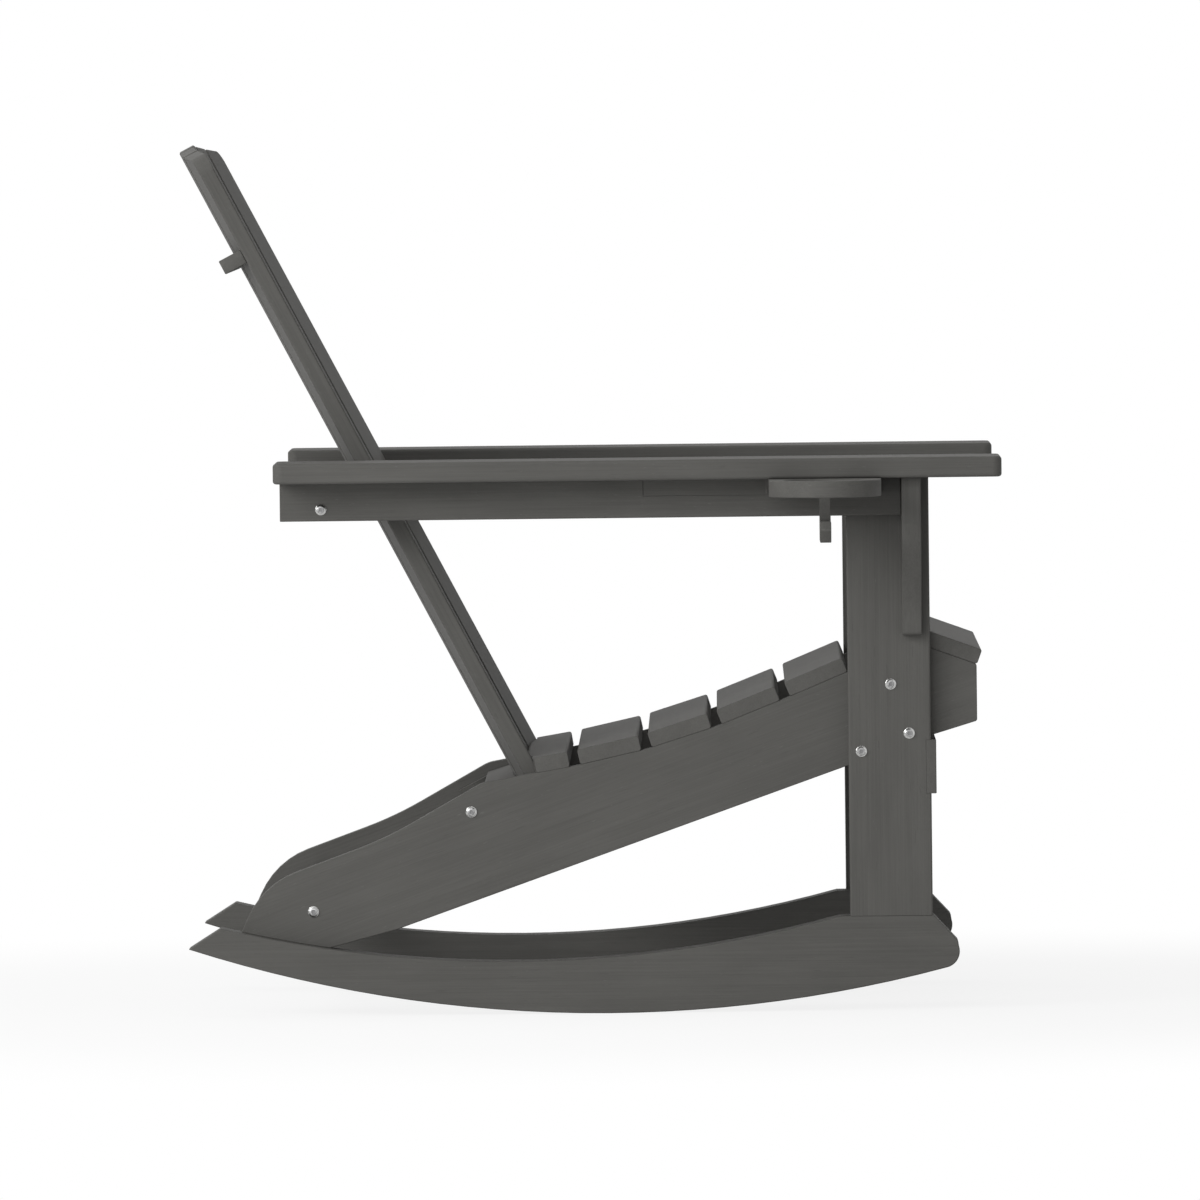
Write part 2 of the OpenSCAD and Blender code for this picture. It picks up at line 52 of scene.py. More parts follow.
# %% [markdown]
# ## Camera
# The photograph was taken from far away with a long lens, almost square to the chair's side, from
# slightly above and with a very small tilt. A near camera would spread the two sides of the chair
# apart, so this one stands 17.6 m away too. It is set by its place, the point it looks at, and the
# direction that is up in the picture.

# %% Camera
CAMERA_PLACE = Vector((0.1404, -17.843, 1.0107))
CAMERA_AIM = Vector((0.0118, -0.243, 0.4451))
CAMERA_TILT = math.radians(0.65)
CAMERA_LENS = 491.3
SENSOR_WIDTH = 36
FARTHEST_SEEN = 100


def add_camera():
    data = bpy.data.cameras.new("camera")
    data.lens = CAMERA_LENS
    data.sensor_width = SENSOR_WIDTH
    data.clip_end = FARTHEST_SEEN
    camera = bpy.data.objects.new("camera", data)
    bpy.context.scene.collection.objects.link(camera)
    forward = (CAMERA_AIM - CAMERA_PLACE).normalized()
    up = Vector((math.sin(CAMERA_TILT), 0, math.cos(CAMERA_TILT)))
    right = forward.cross(up).normalized()
    up = right.cross(forward)
    turn = Matrix((right, up, -forward)).transposed()
    camera.matrix_world = Matrix.Translation(CAMERA_PLACE) @ turn.to_4x4()
    bpy.context.scene.camera = camera
    return camera


camera = add_camera()
print("camera at", [round(v, 2) for v in camera.location])

# %% [markdown]
# ## Short words for nodes
# A material is a tree of nodes, and making each node takes a few lines. The same few kinds come again
# and again here: noise, a vector drawn out along a board, a sum, a soft threshold, and a blend of two
# colours. So each gets a short function that makes the node, sets its values, and gives back the
# socket that the next node reads.

# %% Noise and vectors


def noise(tree, vector, scale, detail, roughness=0.5):
    node = tree.nodes.new("ShaderNodeTexNoise")
    node.inputs["Scale"].default_value = scale
    node.inputs["Detail"].default_value = detail
    node.inputs["Roughness"].default_value = roughness
    tree.links.new(vector, node.inputs["Vector"])
    return node.outputs["Fac"]


def stretched(tree, vector, scale, shift=(0, 0, 0)):
    node = tree.nodes.new("ShaderNodeMapping")
    node.inputs["Scale"].default_value = scale
    node.inputs["Location"].default_value = shift
    tree.links.new(vector, node.inputs["Vector"])
    return node.outputs["Vector"]


print("noise and vector nodes ready")

# %% Sums, thresholds and blends


def maths(tree, operation, *values):
    node = tree.nodes.new("ShaderNodeMath")
    node.operation = operation
    for i, value in enumerate(values):
        if isinstance(value, (int, float)):
            node.inputs[i].default_value = value
        else:
            tree.links.new(value, node.inputs[i])
    return node.outputs[0]


def between(tree, value, low, high):
    node = tree.nodes.new("ShaderNodeMapRange")
    node.interpolation_type = "SMOOTHSTEP"
    tree.links.new(value, node.inputs["Value"])
    node.inputs["From Min"].default_value = low
    node.inputs["From Max"].default_value = high
    return node.outputs["Result"]


def blend(tree, share, under, over):
    node = tree.nodes.new("ShaderNodeMix")
    node.data_type = "RGBA"
    colours = [socket for socket in node.inputs if socket.type == "RGBA"]
    tree.links.new(share, node.inputs[0])
    for socket, value in zip(colours, (under, over)):
        if isinstance(value, tuple):
            socket.default_value = value
        else:
            tree.links.new(value, socket)
    return [socket for socket in node.outputs if socket.type == "RGBA"][0]


print("sum, threshold and blend nodes ready")

# %% [markdown]
# ## Grain
# The boards are moulded with a fine grain, like brushed wood. It runs along each board: hair-fine
# fibres one or two millimetres apart, wider soft streaks, and here and there a short pore or a pale
# fleck. Pictures could carry this, but noise that is squeezed across the board and drawn out along
# it needs no picture and never repeats. One node group makes it, from a vector whose X axis lies
# along the board, and puts out the tone, the height for the bump, and the marks. Every noise is
# shifted by its own step, so that no two of them fall together.

# %% Sizes of the grain
# How many waves there are in a metre along the board and across it
FIBRE_WAVES = (8, 620, 620)
STREAK_WAVES = (3, 150, 150)
CLOUD_WAVES = (10, 30, 30)
PORE_WAVES = (40, 600, 600)
FLECK_WAVES = (120, 700, 700)
# How much of the tone each of them makes, and how deep a pore is beside a fibre
FIBRE_SHARE = 0.44
STREAK_SHARE = 0.2
CLOUD_SHARE = 0.36
PORE_DEPTH = 0.5
# Only the peaks of the noise make marks
PORE_PEAKS = (0.68, 0.76)
FLECK_PEAKS = (0.72, 0.8)
print("fibres are about", round(1000 / FIBRE_WAVES[1], 1), "mm apart")

# %% Grain group


def make_grain_group():
    group = bpy.data.node_groups.new("board grain", "ShaderNodeTree")
    group.interface.new_socket(name="Vector", in_out="INPUT", socket_type="NodeSocketVector")
    for name in ("Tone", "Height", "Pores", "Flecks"):
        group.interface.new_socket(name=name, in_out="OUTPUT", socket_type="NodeSocketFloat")
    vector = group.nodes.new("NodeGroupInput").outputs["Vector"]
    out = group.nodes.new("NodeGroupOutput")
    fibres = noise(group, stretched(group, vector, FIBRE_WAVES), 1, 3, 0.65)
    streaks = noise(group, stretched(group, vector, STREAK_WAVES, (3, 1, 2)), 1, 2)
    cloud = noise(group, stretched(group, vector, CLOUD_WAVES, (7, 5, 1)), 1, 3)
    tone = maths(group, "MULTIPLY", fibres, FIBRE_SHARE)
    tone = maths(group, "MULTIPLY_ADD", streaks, STREAK_SHARE, tone)
    tone = maths(group, "MULTIPLY_ADD", cloud, CLOUD_SHARE, tone)
    marks = noise(group, stretched(group, vector, PORE_WAVES, (1, 4, 9)), 1, 1)
    pores = between(group, marks, *PORE_PEAKS)
    specks = noise(group, stretched(group, vector, FLECK_WAVES, (8, 2, 6)), 1, 1)
    flecks = between(group, specks, *FLECK_PEAKS)
    height = maths(group, "MULTIPLY_ADD", pores, -PORE_DEPTH, fibres)
    for name, value in (("Tone", tone), ("Height", height), ("Pores", pores), ("Flecks", flecks)):
        group.links.new(value, out.inputs[name])
    return group


grain_group = make_grain_group()
print("grain group with", len(grain_group.nodes), "nodes")

# %% [markdown]
# ## Grey lumber
# The real boards are coloured right through, a warm dark grey with a matt, slightly waxy face. So the
# colour is a blend of two greys that lie close together, the pores darken it and the flecks lift it,
# and the roughness and the bump follow the same grain. Each direction in which boards run gets its
# own copy of the material, whose Mapping node turns the grain along those boards.

# %% Grey lumber
GREY_DARK = (0.0700, 0.0686, 0.0640, 1)
GREY_LIGHT = (0.0980, 0.0962, 0.0900, 1)
TONE_RANGE = (0.22, 0.78)
PORE_GREY = (0.0560, 0.0546, 0.0505, 1)
PORE_COVER = 0.35
FLECK_GREY = (0.1180, 0.1165, 0.1100, 1)
FLECK_COVER = 0.5
LUMBER_ROUGHNESS = 0.62
ROUGHNESS_SWING = 0.14
LUMBER_SPECULAR = 0.2
GRAIN_DEPTH = 0.35 * MM
GRAIN_STRENGTH = 0.2


def make_lumber(name, turn):
    material = bpy.data.materials.new(name)
    material.use_nodes = True
    tree = material.node_tree
    shader = tree.nodes["Principled BSDF"]
    shader.inputs["Specular IOR Level"].default_value = LUMBER_SPECULAR
    place = tree.nodes.new("ShaderNodeTexCoord")
    mapping = tree.nodes.new("ShaderNodeMapping")
    mapping.vector_type = "TEXTURE"
    mapping.inputs["Rotation"].default_value = turn
    tree.links.new(place.outputs["Object"], mapping.inputs["Vector"])
    grain = tree.nodes.new("ShaderNodeGroup")
    grain.node_tree = grain_group
    tree.links.new(mapping.outputs["Vector"], grain.inputs["Vector"])
    tone = between(tree, grain.outputs["Tone"], *TONE_RANGE)
    pores = maths(tree, "MULTIPLY", grain.outputs["Pores"], PORE_COVER)
    flecks = maths(tree, "MULTIPLY", grain.outputs["Flecks"], FLECK_COVER)
    colour = blend(tree, tone, GREY_DARK, GREY_LIGHT)
    colour = blend(tree, pores, colour, PORE_GREY)
    colour = blend(tree, flecks, colour, FLECK_GREY)
    tree.links.new(colour, shader.inputs["Base Color"])
    rough = maths(tree, "MULTIPLY_ADD", grain.outputs["Height"], ROUGHNESS_SWING, LUMBER_ROUGHNESS)
    tree.links.new(rough, shader.inputs["Roughness"])
    bump = tree.nodes.new("ShaderNodeBump")
    bump.inputs["Strength"].default_value = GRAIN_STRENGTH
    bump.inputs["Distance"].default_value = GRAIN_DEPTH
    tree.links.new(grain.outputs["Height"], bump.inputs["Height"])
    tree.links.new(bump.outputs["Normal"], shader.inputs["Normal"])
    return material


print("lumber recipe ready")

# %% Lumber for each direction
LEAN = math.radians(27.7)
STRINGER_SLOPE = math.radians(19.6)
lumber = {
    "lengthways": make_lumber("lumber_lengthways", (0, 0, 0)),
    "across": make_lumber("lumber_across", (0, 0, math.radians(90))),
    "upright": make_lumber("lumber_upright", (0, math.radians(-90), 0)),
    "leaning": make_lumber("lumber_leaning", (0, math.radians(-90) - LEAN, 0)),
    "sloping": make_lumber("lumber_sloping", (0, -STRINGER_SLOPE, 0)),
}
print("lumber:", sorted(lumber))

# %% [markdown]
# ## Bolt steel
# A bolt head is one plain stainless: a polished bevelled rim, a brushed face and a six-sided socket.
# Bare metal shows only what it reflects, so the three finishes are fully metallic and differ in
# roughness, with a fine speck over all of them. Their brightness differs too, and that is painted
# light: the brushed face is painted darker for the dimmer reflection it shows, and the socket darker
# still for the shade in its recess. The small screws are coated in the grey of the boards, as on most
# of such furniture, so their top isn't metal.

# %% Bolt steel
SPECK_WAVES = 900
BRUSH_WAVES = (300, 2600, 300)
BRUSH_SWING = 0.2


def make_steel(name, dark, light, roughness, metallic=1):
    material = bpy.data.materials.new(name)
    material.use_nodes = True
    tree = material.node_tree
    shader = tree.nodes["Principled BSDF"]
    shader.inputs["Metallic"].default_value = metallic
    place = tree.nodes.new("ShaderNodeTexCoord")
    speck = noise(tree, place.outputs["Object"], SPECK_WAVES, 3)
    brushed = noise(tree, stretched(tree, place.outputs["Object"], BRUSH_WAVES), 1, 2)
    rough = maths(tree, "MULTIPLY_ADD", brushed, BRUSH_SWING, roughness)
    tree.links.new(blend(tree, speck, dark, light), shader.inputs["Base Color"])
    tree.links.new(rough, shader.inputs["Roughness"])
    return material


print("brushed lines are about", round(1000 / BRUSH_WAVES[1], 1), "mm apart")

# %% Finishes of bolts and screws
steel = make_steel("bolt_steel", (0.42, 0.42, 0.41, 1), (0.60, 0.60, 0.59, 1), 0.16)
# The brushed face's steel is painted darker for the dimmer reflection that face shows.
brushed_steel_painted_dim = make_steel("brushed_steel_painted_dim", (0.18, 0.18, 0.18, 1), (0.30, 0.30, 0.30, 1), 0.3)
# The socket's steel is painted dark for the shade in its recess.
socket_painted_shade = make_steel("socket_painted_shade", (0.14, 0.14, 0.14, 1), (0.22, 0.22, 0.22, 1), 0.4)
coated = make_steel("coated_screw", (0.050, 0.049, 0.046, 1), (0.070, 0.069, 0.065, 1), 0.45, 0)
print("steels:", steel.name, brushed_steel_painted_dim.name, socket_painted_shade.name, coated.name)

# %% [markdown]
# ## Boards with eased edges
# On the real boards every edge is slightly round, and it is this narrow round that catches the light
# as a pale line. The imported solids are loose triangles, so a copy of each board is merged and its
# flat faces are joined. Then its sharp edges are selected and rounded with the bevel operator. Sharp
# edges that hang together in a small chain are the rims of bolt holes, which heads cover, so these
# are left out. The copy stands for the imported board.

# %% Merged copy of a board
SAME_PLACE = 0.01 * MM
SAME_PLANE = math.radians(0.1)


def select_only(piece):
    bpy.ops.object.select_all(action="DESELECT")
    piece.select_set(True)
    bpy.context.view_layer.objects.active = piece


def merged_copy(node):
    piece = bpy.data.objects.new(node + "_copy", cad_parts[node].data.copy())
    bpy.context.scene.collection.objects.link(piece)
    select_only(piece)
    bpy.ops.object.mode_set(mode="EDIT")
    bpy.ops.mesh.select_all(action="SELECT")
    bpy.ops.mesh.remove_doubles(threshold=SAME_PLACE)
    bpy.ops.mesh.dissolve_limited(angle_limit=SAME_PLANE)
    bpy.ops.object.mode_set(mode="OBJECT")
    return piece


print("copies are merged within", SAME_PLACE / MM, "mm")

# %% Leave out the rims of holes
LARGEST_RIM = 40 * MM


def skip_rims(piece):
    corners = piece.data.vertices
    sharp = [edge for edge in piece.data.edges if edge.select]
    chain = {v: v for edge in sharp for v in edge.vertices}

    def first(v):
        while chain[v] != v:
            v = chain[v]
        return v

    for edge in sharp:
        a, b = edge.vertices
        chain[first(a)] = first(b)
    chains = {}
    for v in chain:
        chains.setdefault(first(v), []).append(corners[v].co)
    for edge in sharp:
        places = chains[first(edge.vertices[0])]
        spread = [max(p[i] for p in places) - min(p[i] for p in places) for i in range(3)]
        edge.select = max(spread) > LARGEST_RIM


print("rims up to", round(LARGEST_RIM / MM), "mm stay as they are")

# %% [markdown]
# ## Rounding the edges
# Three strips make a round. Where two rounds meet at a very small angle, as at the front corner of a
# stringer, the bevel leaves corners that lie almost on each other and a side that folds over. Merging
# those corners mends it, and only the stringers need that.

# %% Round the edges
SHARP = math.radians(28)
ROUND_STRIPS = 3
CORNER_MERGE = 0.3


def ease_edges(piece, width):
    select_only(piece)
    bpy.ops.object.mode_set(mode="EDIT")
    bpy.ops.mesh.select_mode(type="EDGE")
    bpy.ops.mesh.select_all(action="DESELECT")
    bpy.ops.mesh.edges_select_sharp(sharpness=SHARP)
    bpy.ops.object.mode_set(mode="OBJECT")
    skip_rims(piece)
    bpy.ops.object.mode_set(mode="EDIT")
    bpy.ops.mesh.bevel(offset=width, segments=ROUND_STRIPS, profile=0.5, affect="EDGES",
                       clamp_overlap=False)
    if piece.name.startswith("stringer"):
        bpy.ops.mesh.select_all(action="SELECT")
        bpy.ops.mesh.remove_doubles(threshold=CORNER_MERGE * width)
    bpy.ops.object.mode_set(mode="OBJECT")


print("edges over", round(math.degrees(SHARP)), "degrees count as sharp")

# %% [markdown]
# ## Even shading
# A smooth edge beside a large flat face would pull the shading of that face askew. So the rounds and
# the curves are shaded smooth, and every face that is large and wide is kept flat. The narrow strips of
# a round then still run into each other, and a board's side stays one even plane. The rockers' soles
# are kept flat too: their strips turn by a quarter degree only, and thin faces round the screw holes
# would smear a smooth shading.

# %% Even shading
SMOOTH_BELOW = 35
LARGE_AREA = 800 * MM * MM
WIDE = 4 * MM
DOWNWARDS = -0.96


def length_around(piece, face):
    places = [piece.data.vertices[v].co for v in face.vertices]
    return sum((a - b).length for a, b in zip(places, places[1:] + places[:1]))


def shade_evenly(piece, smooth_below=SMOOTH_BELOW):
    select_only(piece)
    bpy.ops.object.shade_smooth_by_angle(angle=math.radians(smooth_below))
    for face in piece.data.polygons:
        if face.area > LARGE_AREA and face.area > WIDE * length_around(piece, face) / 2:
            face.use_smooth = False


def keep_sole_flat(piece):
    for face in piece.data.polygons:
        if face.normal.z < DOWNWARDS:
            face.use_smooth = False


print("faces over", round(LARGE_AREA / MM / MM), "square mm stay flat")

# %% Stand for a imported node


def stand_for(piece, node, material):
    piece.data.materials.clear()
    piece.data.materials.append(material)
    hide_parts(node)
    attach(piece, "root")


print("replacing helper ready")

# %% [markdown]
# ## All boards at once
# The table says for each kind of board which way its grain runs and how far its edges are rounded, in
# millimetres. A node belongs to the first kind that its name starts with. Where the width is 0, the
# packed board has eased edges all along already, and only its cut ends would be left to round. The
# screws under the rockers start like the rockers, so a name that ends with screws is passed over.

# %% Ease the boards
BOARD_KINDS = {
    "stringer": ("sloping", 1.0),
    "rocker": ("lengthways", 1.3),
    "arm_bracket": ("upright", 1.3),
    "cup_holder_board": ("lengthways", 0),
    "cup_support": ("across", 0.8),
    "upper_back_brace": ("across", 1.2),
    "arm_back_rail": ("across", 1.2),
    "lower_back_rail": ("across", 1.2),
    "front_leg": ("upright", 0),
    "seat_slat_1": ("across", 0.3),
    "seat_slat": ("across", 0.8),
    "back_slat": ("leaning", 0.5),
    "arm_rail": ("lengthways", 0.8),
    "arm_left": ("lengthways", 0),
    "arm_right": ("lengthways", 0),
    "front_stretcher": ("across", 0.8),
    "rear_stretcher": ("across", 0),
    "back_rail_cleat": ("leaning", 0),
}
boards = {}
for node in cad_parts:
    kind = next((kind for kind in BOARD_KINDS if node.startswith(kind)), None)
    if kind and not node.endswith("screws"):
        run, width = BOARD_KINDS[kind]
        board = merged_copy(node)
        if width:
            ease_edges(board, width * MM)
        shade_evenly(board)
        if kind == "rocker":
            keep_sole_flat(board)
        stand_for(board, node, lumber[run])
        boards[node] = board
print("boards:", {name: len(piece.data.polygons) for name, piece in boards.items()})

# %% [markdown]
# ## Bolts, nuts and long screws
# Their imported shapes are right: a low turned head with a bevelled rim and a six-sided socket. They
# are copied in the same way, and their facets are shaded round. The floor of a socket is a face with
# six corners that looks out sideways, larger than any other such face, so it also gives the axis of
# its head. What lies close round that axis is the socket's wall or the brushed face, and the rest
# stays polished. The heads under the rockers look down, hidden in their bores, and stay polished.

# %% Finish the bolt heads
SOCKET_FLOOR = 8 * MM * MM
SOCKET_REACH = 2.5 * MM
FACE_REACH = 4.3 * MM
DIMMED_FACE_SLOT, SOCKET_SLOT = 1, 2
NEARLY_SQUARE = 0.9
NEARLY_ALONG = 0.3


def looks_sideways(face):
    return abs(face.normal.y) > NEARLY_SQUARE


def is_floor(face):
    return len(face.vertices) == 6 and looks_sideways(face) and face.area > SOCKET_FLOOR


def is_wall(face):
    return abs(face.normal.y) < NEARLY_ALONG


def finish_heads(piece):
    for material in (brushed_steel_painted_dim, socket_painted_shade):
        piece.data.materials.append(material)
    faces = piece.data.polygons
    floors = [face for face in faces if is_floor(face)]
    for face in faces:
        for floor in floors:
            step = face.center - floor.center
            off = math.hypot(step.x, step.z)
            if abs(step.y) > FACE_REACH or off > FACE_REACH:
                continue
            # Socket faces take the steel painted dark for the shade in the recess.
            if face == floor or (is_wall(face) and off < SOCKET_REACH):
                face.material_index = SOCKET_SLOT
            # The flat face takes the steel painted darker for its dimmer reflection.
            elif looks_sideways(face):
                face.material_index = DIMMED_FACE_SLOT
    return len(floors)


print("a brushed face reaches", round(FACE_REACH / MM, 1), "mm from its axis")

# %% Bolts, nuts and long screws
METAL_SMOOTH_BELOW = 30
fasteners = {}
for node in ("frame_bolts", "frame_nuts", "end_screws", "rail_screws", "rocker_screws"):
    fasteners[node] = merged_copy(node)
    shade_evenly(fasteners[node], METAL_SMOOTH_BELOW)
    stand_for(fasteners[node], node, steel)
    if node != "frame_nuts":
        print(node, "heads with a socket:", finish_heads(fasteners[node]))
print("fasteners:", {name: len(piece.data.polygons) for name, piece in fasteners.items()})

# %% [markdown]
# ## Small screws
# Besides the bolts, such a chair has many small wood screws: two in each end of a seat slat, a few in
# each arm, and two through each cross board into every back slat. One is modelled as by hand. A thin
# twelve-sided disc gets a raised rim, its top is inset, every second corner of the inset ring is drawn
# inwards to a star, and an inset of no width pushes the star straight down to make the six-lobed
# recess. An extrusion would do the same, but it numbers its faces anew in each run. It is then copied.

# %% Select by place or normal


def pick(piece, kind, test):
    bpy.ops.object.mode_set(mode="EDIT")
    bpy.ops.mesh.select_mode(type=kind)
    bpy.ops.mesh.select_all(action="DESELECT")
    bpy.ops.object.mode_set(mode="OBJECT")
    for item in piece.data.polygons if kind == "FACE" else piece.data.vertices:
        item.select = test(item)
    bpy.ops.object.mode_set(mode="EDIT")


print("selection helper ready")

# %% One small screw
SCREW_RADIUS = 4.0 * MM
SCREW_THICK = 2.0 * MM
SCREW_PROUD = 0.15 * MM
SCREW_SIDES = 12
RIM_WIDTH = 0.12 * SCREW_RADIUS
RIM_RISE = 0.03 * SCREW_RADIUS
FACE_WIDTH = 0.40 * SCREW_RADIUS
RECESS_DEPTH = 0.3 * SCREW_RADIUS
STAR_PULL = 0.66


def looks_up(face):
    return face.normal.z > NEARLY_SQUARE


def make_screw():
    bpy.ops.object.select_all(action="DESELECT")
    middle = SCREW_PROUD - SCREW_THICK / 2
    bpy.ops.mesh.primitive_cylinder_add(vertices=SCREW_SIDES, radius=SCREW_RADIUS,
                                        depth=SCREW_THICK, location=(0, 0, middle))
    screw = bpy.context.object
    screw.name = "small_screw"
    bpy.ops.object.transform_apply(location=True, rotation=True, scale=True)
    pick(screw, "FACE", looks_up)
    bpy.ops.mesh.inset(thickness=RIM_WIDTH, depth=RIM_RISE)
    bpy.ops.mesh.inset(thickness=FACE_WIDTH)
    bpy.ops.object.mode_set(mode="OBJECT")
    inner = min(math.hypot(v.co.x, v.co.y) for v in screw.data.vertices)

    def every_second(corner):
        turn = round(math.atan2(corner.co.y, corner.co.x) * SCREW_SIDES / math.tau)
        return math.hypot(corner.co.x, corner.co.y) < inner * 1.1 and turn % 2 == 0

    pick(screw, "VERT", every_second)
    bpy.ops.transform.resize(value=(STAR_PULL, STAR_PULL, 1), center_override=(0, 0, 0))
    pick(screw, "FACE", lambda face: len(face.vertices) == SCREW_SIDES and looks_up(face))
    bpy.ops.mesh.inset(thickness=0, depth=-RECESS_DEPTH)
    bpy.ops.object.mode_set(mode="OBJECT")
    return screw


screw = make_screw()
print("one screw has", len(screw.data.polygons), "faces")

# %% [markdown]
# ## Places of the small screws
# A screw must sit in its board and square to it. So a ray is cast on to the board, and where it
# strikes, it gives both the place and the direction of the face. The boards are new, so the view layer
# is updated before the first ray. The copies of one group are joined into one piece, which rides with
# the boards.

# %% Copies of the screw
bpy.context.view_layer.update()


def screw_at(node, start, direction):
    struck, place, normal, _ = boards[node].ray_cast(Vector(start), Vector(direction))
    if not struck:
        raise ValueError("no board for a screw at " + node)
    turn = normal.to_track_quat("Z", "Y").to_matrix().to_4x4()
    mesh = screw.data.copy()
    mesh.transform(Matrix.Translation(place) @ turn)
    copy = bpy.data.objects.new("screw_copy", mesh)
    bpy.context.scene.collection.objects.link(copy)
    return copy


def join_screws(name, copies):
    bpy.ops.object.select_all(action="DESELECT")
    for copy in copies:
        copy.select_set(True)
    bpy.context.view_layer.objects.active = copies[0]
    bpy.ops.object.join()
    group = bpy.context.object
    group.name = name
    shade_evenly(group, METAL_SMOOTH_BELOW)
    group.data.materials.clear()
    group.data.materials.append(coated)
    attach(group, "root")
    print(name, "has", len(copies), "screws")


# %% Seat screws
SLAT_SCREW_SPREAD = 0.27
HIGH = 1.0


def middle_of(node, axis):
    low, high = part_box(node)
    return (low[axis] + high[axis]) / 2


seat_screws = []
for i in range(1, 8):
    low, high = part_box("seat_slat_%d" % i)
    for side in ("left", "right"):
        for share in (0.5 - SLAT_SCREW_SPREAD, 0.5 + SLAT_SCREW_SPREAD):
            x = low[0] + (high[0] - low[0]) * share
            start = (x, middle_of("stringer_" + side, 1), HIGH)
            seat_screws.append(screw_at("seat_slat_%d" % i, start, (0, 0, -1)))
join_screws("seat_screws", seat_screws)

# %% Arm screws
LEG_SCREW_SHARES = (0.2, 0.6)
REAR_SCREW_STEP = 35 * MM
arm_screws = []
for side in ("left", "right"):
    leg, bracket, rail = "front_leg_" + side, "arm_bracket_" + side, "arm_rail_" + side
    leg_low, leg_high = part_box("front_leg_" + side)
    spots = [(leg_low[0] + (leg_high[0] - leg_low[0]) * share, middle_of(leg, 1))
             for share in LEG_SCREW_SHARES]
    spots.append((middle_of(bracket, 0), middle_of(bracket, 1)))
    for step in (-REAR_SCREW_STEP, REAR_SCREW_STEP):
        spots.append((middle_of("arm_back_rail", 0) + step, middle_of(rail, 1)))
    for x, y in spots:
        arm_screws.append(screw_at("arm_" + side, (x, y, HIGH), (0, 0, -1)))
join_screws("arm_screws", arm_screws)

# %% Back screws
BEHIND = 0.3
BACK_SCREW_STEP = 25 * MM
LEVEL = Vector((1, 0, 0))
ALONG_LEAN = Vector((math.cos(LEAN), 0, math.sin(LEAN)))
DRIVEN = {"upper_back_brace": ALONG_LEAN, "lower_back_rail": ALONG_LEAN, "arm_back_rail": LEVEL}
back_screws = []
for board, forward in DRIVEN.items():
    for i in range(1, 6):
        for step in (-BACK_SCREW_STEP, BACK_SCREW_STEP):
            y = middle_of("back_slat_%d" % i, 1) + step
            spot = Vector((middle_of(board, 0), y, middle_of(board, 2)))
            back_screws.append(screw_at(board, spot - forward * BEHIND, forward))
join_screws("back_screws", back_screws)
bpy.data.objects.remove(screw)

# %% [markdown]
# ## Lamps
# The photograph has soft light, stronger from above and from the left, so that the chair's side
# grows a little darker towards its front. Four broad square lamps give it. The broader a lamp, the
# softer its shadows. Each line of the table gives a lamp's place, the point it shines on, the length
# of its side in metres, and its power in watts.

# %% Lamps
LAMPS = {
    "left_key": ((-3.6, -3.2, 2.3), (0, 0, 0.4), 2.4, 124),
    "camera_side": ((-1.2, -5.0, 1.8), (0, 0, 0.4), 3.4, 102),
    "rear_high": ((-2.8, 2.4, 3.2), (0, 0, 0.4), 2.5, 30),
    "overhead": ((-0.8, 0, 4.0), (0, 0, 0.4), 3.0, 22),
}


def add_area(name, place, aim, size, watts):
    data = bpy.data.lights.new(name, "AREA")
    data.shape = "SQUARE"
    data.size = size
    data.energy = watts
    lamp = bpy.data.objects.new(name, data)
    lamp.location = place
    lamp.rotation_euler = (Vector(aim) - Vector(place)).to_track_quat("-Z", "Y").to_euler()
    bpy.context.scene.collection.objects.link(lamp)
    return lamp


for name, values in LAMPS.items():
    add_area(name, *values)
print("lamps:", sorted(LAMPS))

# %% [markdown]
# ## White background
# The world lights the chair from all sides, but weakly. To the camera, and in reflections, it is
# plain white all the same. Light Path tells which kind of ray asks, so the background is white without
# more light on the chair.

# %% World
WORLD_STRENGTH = 0.30


def seen_white(tree):
    path = tree.nodes.new("ShaderNodeLightPath")
    seen = maths(tree, "MAXIMUM", path.outputs["Is Camera Ray"], path.outputs["Is Transmission Ray"])
    return maths(tree, "MAXIMUM", seen, path.outputs["Is Glossy Ray"])


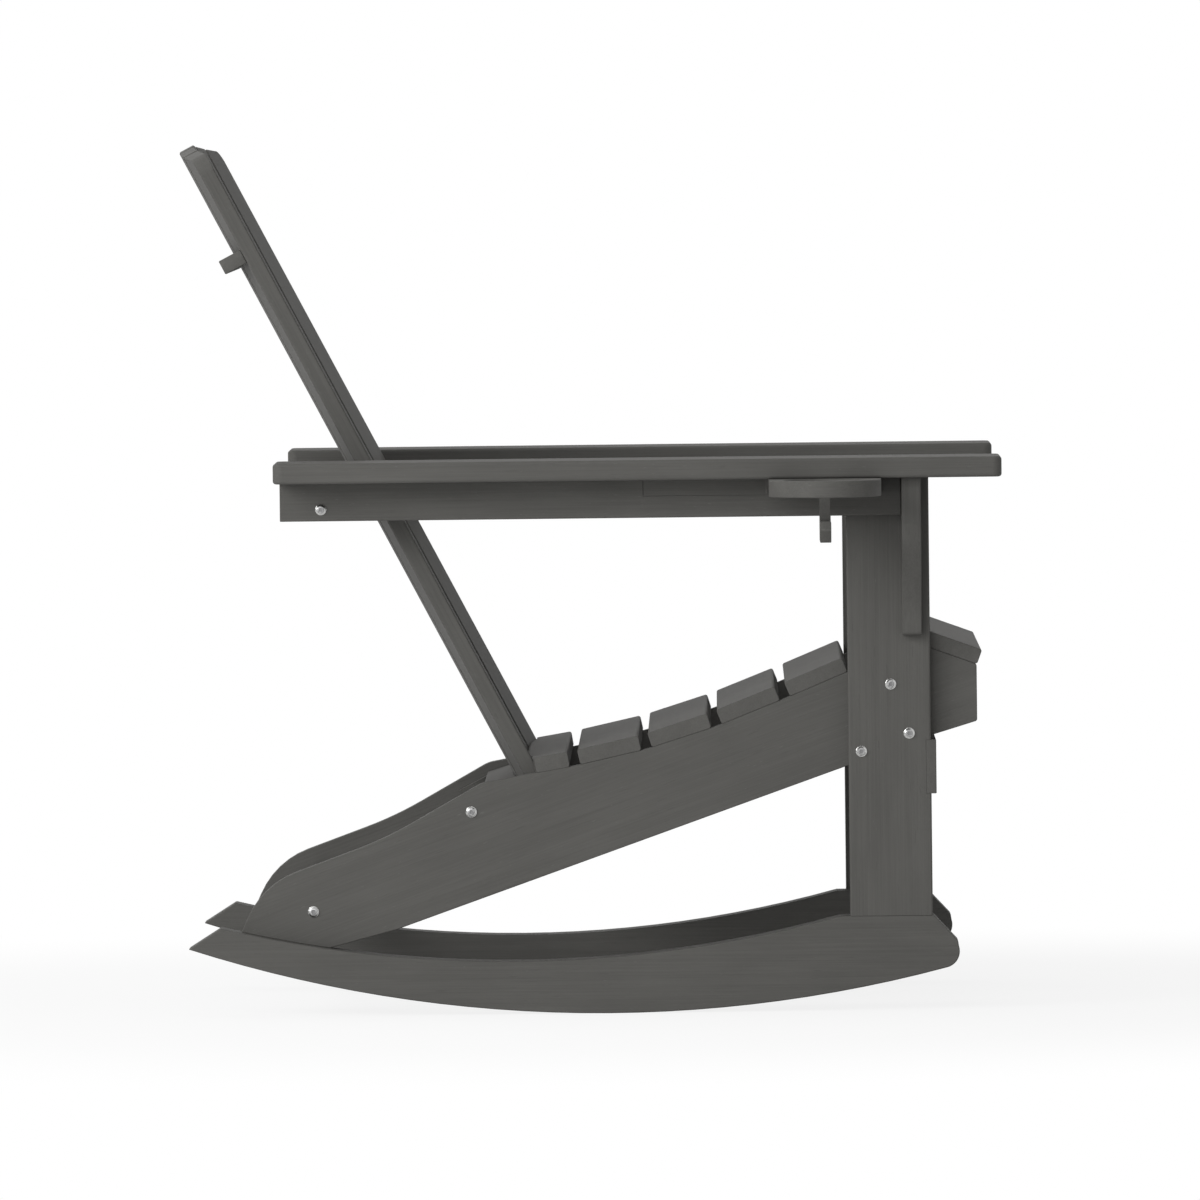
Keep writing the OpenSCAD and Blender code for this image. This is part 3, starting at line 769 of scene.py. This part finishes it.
def make_world():
    world = bpy.data.worlds.new("studio")
    bpy.context.scene.world = world
    world.use_nodes = True
    tree = world.node_tree
    tree.nodes.clear()
    out = tree.nodes.new("ShaderNodeOutputWorld")
    mix = tree.nodes.new("ShaderNodeMixShader")
    soft = tree.nodes.new("ShaderNodeBackground")
    soft.inputs["Color"].default_value = (1, 1, 1, 1)
    soft.inputs["Strength"].default_value = WORLD_STRENGTH
    white = tree.nodes.new("ShaderNodeBackground")
    white.inputs["Color"].default_value = (1, 1, 1, 1)
    white.inputs["Strength"].default_value = 1
    tree.links.new(seen_white(tree), mix.inputs["Fac"])
    tree.links.new(soft.outputs[0], mix.inputs[1])
    tree.links.new(white.outputs[0], mix.inputs[2])
    tree.links.new(mix.outputs[0], out.inputs["Surface"])


make_world()
print("world strength", WORLD_STRENGTH)

# %% [markdown]
# ## Floor
# The floor glows white to the camera in the same way, so it runs into the background without an
# edge. A floor that only glows would show no shadow, and the chair would seem to float. So near the
# chair a small share of what the camera sees is the real, matt floor, and that share fades out
# further away.

# %% Floor material
SHADOW_SHARE = 0.16
SHADOW_FADES = (0.75, 1.6)
FLOOR_PAINT = (0.85, 0.85, 0.85, 1)
FLOOR_ROUGHNESS = 0.9


def make_floor_white():
    material = bpy.data.materials.new("floor_white")
    material.use_nodes = True
    tree = material.node_tree
    out = tree.nodes["Material Output"]
    shader = tree.nodes["Principled BSDF"]
    shader.inputs["Base Color"].default_value = FLOOR_PAINT
    shader.inputs["Roughness"].default_value = FLOOR_ROUGHNESS
    glow = tree.nodes.new("ShaderNodeEmission")
    glow.inputs["Strength"].default_value = 1
    place = tree.nodes.new("ShaderNodeTexCoord")
    length = tree.nodes.new("ShaderNodeVectorMath")
    length.operation = "LENGTH"
    tree.links.new(place.outputs["Object"], length.inputs[0])
    away = between(tree, length.outputs["Value"], *SHADOW_FADES)
    bright = maths(tree, "MULTIPLY_ADD", away, SHADOW_SHARE, 1 - SHADOW_SHARE)
    mix = tree.nodes.new("ShaderNodeMixShader")
    tree.links.new(maths(tree, "MULTIPLY", seen_white(tree), bright), mix.inputs["Fac"])
    tree.links.new(shader.outputs[0], mix.inputs[1])
    tree.links.new(glow.outputs[0], mix.inputs[2])
    tree.links.new(mix.outputs[0], out.inputs["Surface"])
    return material


floor_white = make_floor_white()
print("floor material:", floor_white.name)

# %% Floor
FLOOR_SIZE = 60
bpy.ops.object.select_all(action="DESELECT")
bpy.ops.mesh.primitive_plane_add(size=FLOOR_SIZE, location=(0, 0, 0))
floor = bpy.context.object
floor.name = "floor"
floor.data.materials.append(floor_white)
bpy.context.scene.view_settings.view_transform = "Standard"
print("floor of", FLOOR_SIZE, "m; colours are shown by", bpy.context.scene.view_settings.view_transform)
